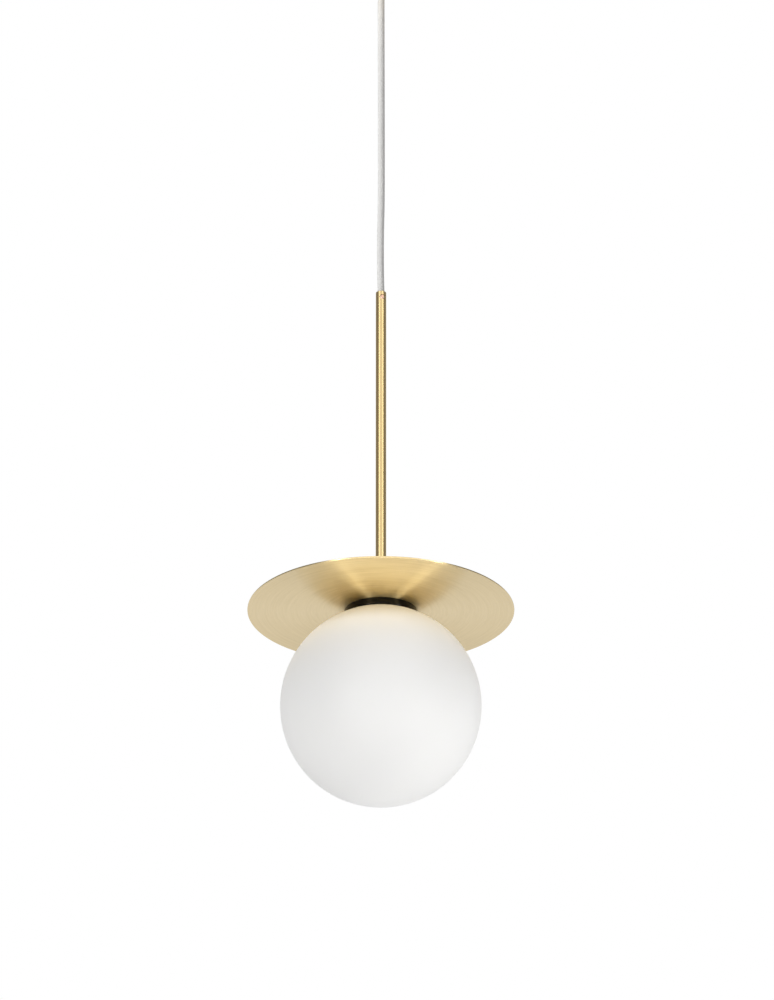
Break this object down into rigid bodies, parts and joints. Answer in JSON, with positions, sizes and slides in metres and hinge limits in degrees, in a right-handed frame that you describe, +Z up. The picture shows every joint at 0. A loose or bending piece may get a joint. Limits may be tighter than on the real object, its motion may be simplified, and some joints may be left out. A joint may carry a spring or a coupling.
{
  "type": "pendant ceiling light",
  "caption": "Pendant ceiling light: round opal glass globe under a flat brass disc on a thin brass stem, hung by a textile cord from a ceiling cup.",
  "frame": {"origin": "centre of the mounting bracket's top face, on the ceiling's surface", "axes": "+Z up, against the ceiling; the lamp hangs towards -Z; +X to the right and -Y to the front, where the stem's set screw faces"},
  "size_m": [0.2, 0.2, 0.7284],
  "materials": {
    "satin_brass": "satin, brushed",
    "screw_brass": "polished",
    "zinc_steel": "zinc plated",
    "opal_glass": "satin etched",
    "frosted_cover": "frosted",
    "black_cap": "glossy",
    "gasket_rubber": "matt",
    "white_braid": "woven",
    "holder_ceramic": "matt ceramic",
    "white_plastic": "moulded",
    "brown_insulation": "smooth",
    "blue_insulation": "smooth",
    "green_insulation": "smooth"
  },
  "bodies": {
    "ceiling": {"mounting_bracket": "zinc_steel", "ceiling_cup": "satin_brass", "cup_screw_left": "screw_brass", "cup_screw_right": "screw_brass", "grip_body": "satin_brass", "grip_washer": "zinc_steel", "grip_nut": "zinc_steel", "grip_screw": "screw_brass", "terminal_block": "white_plastic", "terminal_live": "screw_brass", "terminal_neutral": "screw_brass", "terminal_earth": "screw_brass", "terminal_block_screw": "zinc_steel", "supply_wire_live": "brown_insulation", "supply_wire_neutral": "blue_insulation", "supply_wire_earth": "green_insulation", "cord_tail": "white_braid", "clamp_screw_live_cord": "zinc_steel", "clamp_screw_live_supply": "zinc_steel", "clamp_screw_neutral_cord": "zinc_steel", "clamp_screw_neutral_supply": "zinc_steel", "clamp_screw_earth_cord": "zinc_steel", "clamp_screw_earth_supply": "zinc_steel"},
    "cord_upper": {"cord_top": "white_braid"},
    "cord_hanging": {"cord": "white_braid"},
    "pendant": {"cord_in_stem": "white_braid", "stem": "satin_brass", "stem_screw": "screw_brass", "disc_nut": "satin_brass", "disc": "satin_brass", "holder_cap": "black_cap", "stem_washer": "zinc_steel", "lampholder_bracket": "zinc_steel", "earth_tag": "zinc_steel", "stem_nut": "zinc_steel", "lampholder": "holder_ceramic", "lampholder_screw_front": "zinc_steel", "lampholder_screw_back": "zinc_steel", "contact_left": "screw_brass", "contact_right": "screw_brass", "lead_live": "brown_insulation", "lead_neutral": "blue_insulation", "lead_earth": "green_insulation"},
    "gasket": {"glass_gasket": "gasket_rubber"},
    "glass": {"globe": "opal_glass"},
    "bulb": {"bulb_base": "white_plastic", "bulb_envelope": "frosted_cover", "bulb_pin_left": "zinc_steel", "bulb_pin_right": "zinc_steel"}
  },
  "joints": [
    {"name": "swing_front", "type": "hinge", "parent": "ceiling", "child": "cord_upper", "pos_m": [0, 0, -0.0445], "axis": [1, 0, 0], "range_deg": [-15, 15]},
    {"name": "swing_side", "type": "hinge", "parent": "cord_upper", "child": "cord_hanging", "pos_m": [0, 0, -0.0605], "axis": [0, 1, 0], "range_deg": [-15, 15]},
    {"name": "pendant_turn", "type": "hinge", "parent": "cord_hanging", "child": "pendant", "pos_m": [0, 0, -0.3101], "axis": [0, 0, 1], "range_deg": [-180, 180]},
    {"name": "globe_travel", "type": "slide", "parent": "pendant", "child": "gasket", "axis": [0, 0, -1], "range_m": [0, 0.0082]},
    {"name": "globe_unscrew", "type": "hinge", "parent": "gasket", "child": "glass", "pos_m": [0, 0, -0.6526], "axis": [0, 0, -1], "range_deg": [0, 720]},
    {"name": "bulb_pull", "type": "slide", "parent": "pendant", "child": "bulb", "axis": [0, 0, -1], "range_m": [0, 0.012]}
  ],
  "couplings": [
    {"joint": "globe_travel", "follows": "globe_unscrew", "m_per_rad": 0.00063662}
  ]
}
